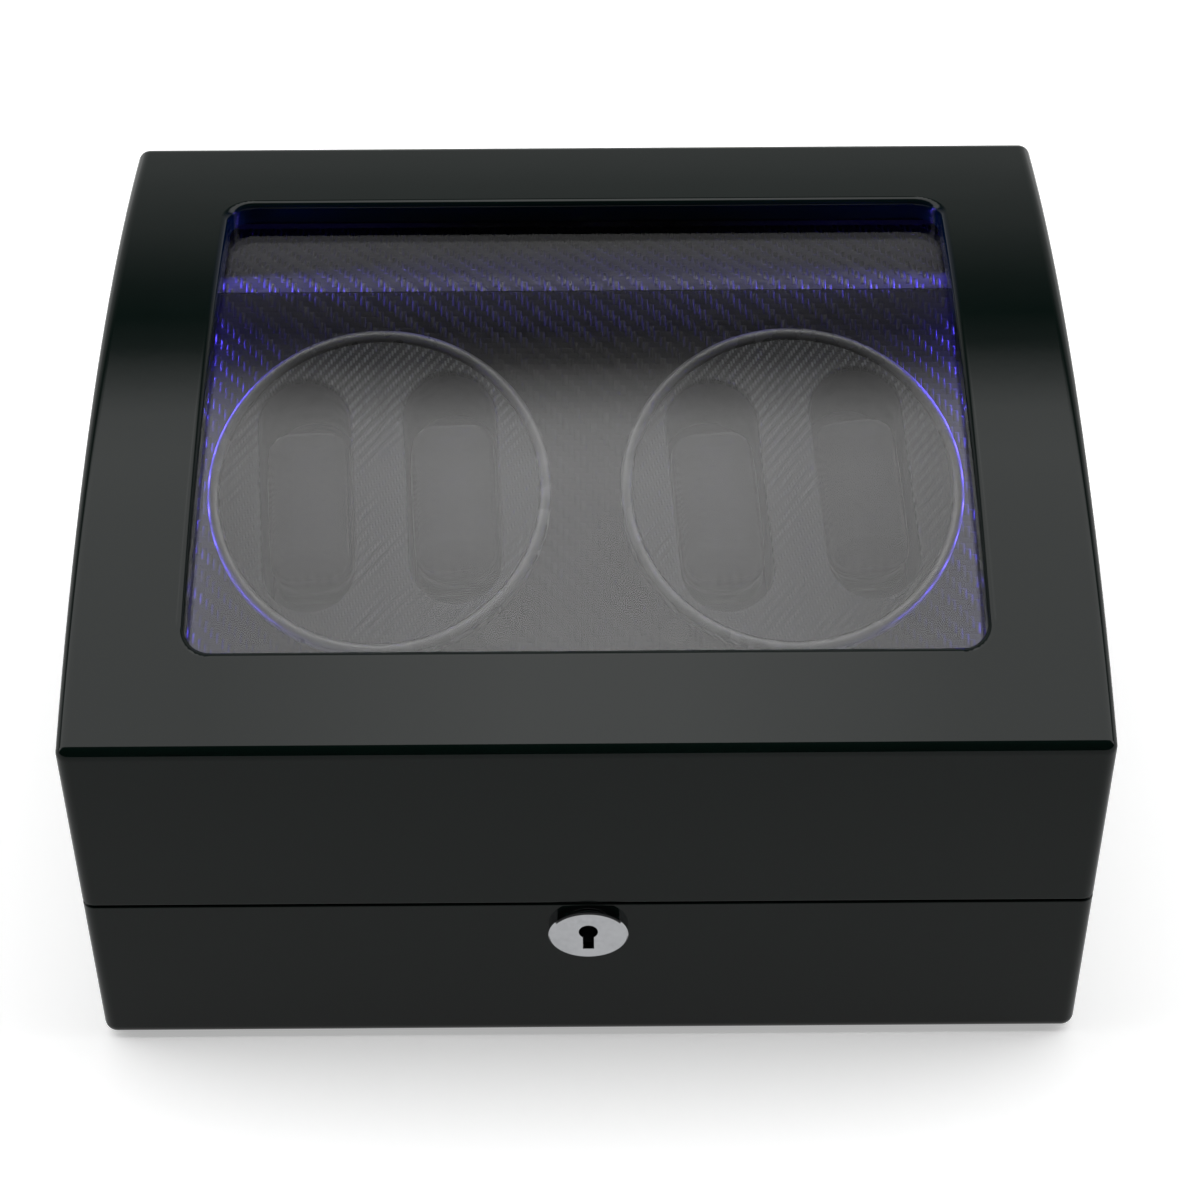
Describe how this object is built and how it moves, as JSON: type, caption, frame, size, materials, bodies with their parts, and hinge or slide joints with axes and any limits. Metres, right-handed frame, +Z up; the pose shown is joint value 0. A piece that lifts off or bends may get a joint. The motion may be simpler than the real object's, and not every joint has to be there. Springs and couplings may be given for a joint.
{
  "type": "watch winder box",
  "caption": "Lacquered box with an arched glazed lid over a sloping deck, where motor-driven turntables turn watch pillows to wind automatic watches.",
  "frame": {"origin": "centre of the felt face under the base, on the table", "axes": "+X to the right seen from the keyhole side, +Y to the hinges at the back, +Z up"},
  "size_m": [0.34, 0.2891, 0.1914],
  "materials": {
    "black_lacquer": "high-gloss black lacquer over board",
    "floor_board": "bare fibreboard",
    "base_felt": "black felt",
    "clear_acrylic": "clear polished acrylic",
    "black_plastic": "moulded",
    "twill_leatherette": "black leatherette embossed with a twill weave",
    "satin_grey": "satin grey",
    "pillow_suede": "black suede cloth over foam",
    "chrome": "polished",
    "gloss_black": "polished black",
    "plated_steel": "nickel plated",
    "screw_steel": "zinc plated",
    "chassis_steel": "zinc plated sheet",
    "motor_steel": "pressed can",
    "bush_brass": "turned",
    "gear_acetal": "moulded acetal",
    "circuit_board": "solder mask",
    "lamp_blue": "blue lamp, lit"
  },
  "bodies": {
    "case_base": {"base_front_board": "black_lacquer", "base_rear_board": "black_lacquer", "base_left_board": "black_lacquer", "base_right_board": "black_lacquer", "base_floor": "floor_board", "base_felt": "base_felt", "power_socket": "black_plastic", "mode_switches": "black_plastic", "board_standoffs": "black_plastic", "deck_panel": "twill_leatherette", "left_cheek": "twill_leatherette", "right_cheek": "twill_leatherette", "front_rail": "twill_leatherette", "back_panel": "twill_leatherette", "escutcheon": "chrome", "lock_case": "plated_steel", "hinge_base_leaves": "plated_steel", "hinge_pins": "plated_steel", "hinge_base_screws": "screw_steel", "lock_screws": "screw_steel", "chassis_screws": "screw_steel", "board_screws": "screw_steel", "chassis_plate": "chassis_steel", "chassis_posts": "chassis_steel", "gear_motor_left": "motor_steel", "gear_motor_right": "motor_steel", "spindle_bushes": "bush_brass", "control_board": "circuit_board", "lamp_strips": "circuit_board", "lamp_chips": "lamp_blue"},
    "lid": {"lid_front_board": "black_lacquer", "lid_rear_board": "black_lacquer", "lid_left_board": "black_lacquer", "lid_right_board": "black_lacquer", "lid_top_panel": "black_lacquer", "window_pane": "clear_acrylic", "pane_retainer": "black_plastic", "retainer_screws": "screw_steel", "hinge_lid_leaves": "plated_steel", "lid_screws": "screw_steel", "strike_plate": "plated_steel"},
    "turntable_left": {"turntable_drum_left": "satin_grey", "turntable_face_left": "twill_leatherette", "pocket_cups_left": "black_plastic", "spindle_left": "chassis_steel", "drive_gear_left": "gear_acetal"},
    "pinion_left": {"motor_pinion_left": "bush_brass"},
    "knob_left": {"mode_knob_left": "gloss_black"},
    "pillow_left_outer": {"watch_pillow_left_outer": "pillow_suede"},
    "pillow_left_inner": {"watch_pillow_left_inner": "pillow_suede"},
    "turntable_right": {"turntable_drum_right": "satin_grey", "turntable_face_right": "twill_leatherette", "pocket_cups_right": "black_plastic", "spindle_right": "chassis_steel", "drive_gear_right": "gear_acetal"},
    "pinion_right": {"motor_pinion_right": "bush_brass"},
    "knob_right": {"mode_knob_right": "gloss_black"},
    "pillow_right_outer": {"watch_pillow_right_outer": "pillow_suede"},
    "pillow_right_inner": {"watch_pillow_right_inner": "pillow_suede"},
    "lock_bolt": {"lock_bolt": "plated_steel"}
  },
  "joints": [
    {"name": "lid_hinge", "type": "hinge", "parent": "case_base", "child": "lid", "pos_m": [0, 0.1431, 0.06825], "axis": [-1, 0, 0], "range_deg": [0, 95]},
    {"name": "turntable_left_spin", "type": "hinge", "parent": "case_base", "child": "turntable_left", "pos_m": [-0.0733, -0.00222, 0.13161], "axis": [0, -0.5141, 0.8577], "continuous": true},
    {"name": "pinion_left_spin", "type": "hinge", "parent": "case_base", "child": "pinion_left", "pos_m": [-0.0397, -0.00222, 0.13161], "axis": [0, -0.5141, 0.8577], "continuous": true},
    {"name": "knob_left_turn", "type": "hinge", "parent": "case_base", "child": "knob_left", "pos_m": [-0.03099, -0.04853, 0.10385], "axis": [0, -0.5141, 0.8577], "range_deg": [-135, 135]},
    {"name": "pillow_left_outer_lift", "type": "slide", "parent": "turntable_left", "child": "pillow_left_outer", "axis": [0, -0.5141, 0.8577], "range_m": [0, 0.018]},
    {"name": "pillow_left_inner_lift", "type": "slide", "parent": "turntable_left", "child": "pillow_left_inner", "axis": [0, -0.5141, 0.8577], "range_m": [0, 0.018]},
    {"name": "turntable_right_spin", "type": "hinge", "parent": "case_base", "child": "turntable_right", "pos_m": [0.0733, -0.00222, 0.13161], "axis": [0, -0.5141, 0.8577], "continuous": true},
    {"name": "pinion_right_spin", "type": "hinge", "parent": "case_base", "child": "pinion_right", "pos_m": [0.0397, -0.00222, 0.13161], "axis": [0, -0.5141, 0.8577], "continuous": true},
    {"name": "knob_right_turn", "type": "hinge", "parent": "case_base", "child": "knob_right", "pos_m": [0.03099, -0.04853, 0.10385], "axis": [0, -0.5141, 0.8577], "range_deg": [-135, 135]},
    {"name": "pillow_right_outer_lift", "type": "slide", "parent": "turntable_right", "child": "pillow_right_outer", "axis": [0, -0.5141, 0.8577], "range_m": [0, 0.018]},
    {"name": "pillow_right_inner_lift", "type": "slide", "parent": "turntable_right", "child": "pillow_right_inner", "axis": [0, -0.5141, 0.8577], "range_m": [0, 0.018]},
    {"name": "lock_bolt_slide", "type": "slide", "parent": "case_base", "child": "lock_bolt", "axis": [1, 0, 0], "range_m": [0, 0.0065]}
  ],
  "couplings": [
    {"joint": "pinion_left_spin", "follows": "turntable_left_spin", "ratio": -5},
    {"joint": "pinion_right_spin", "follows": "turntable_right_spin", "ratio": -5}
  ]
}
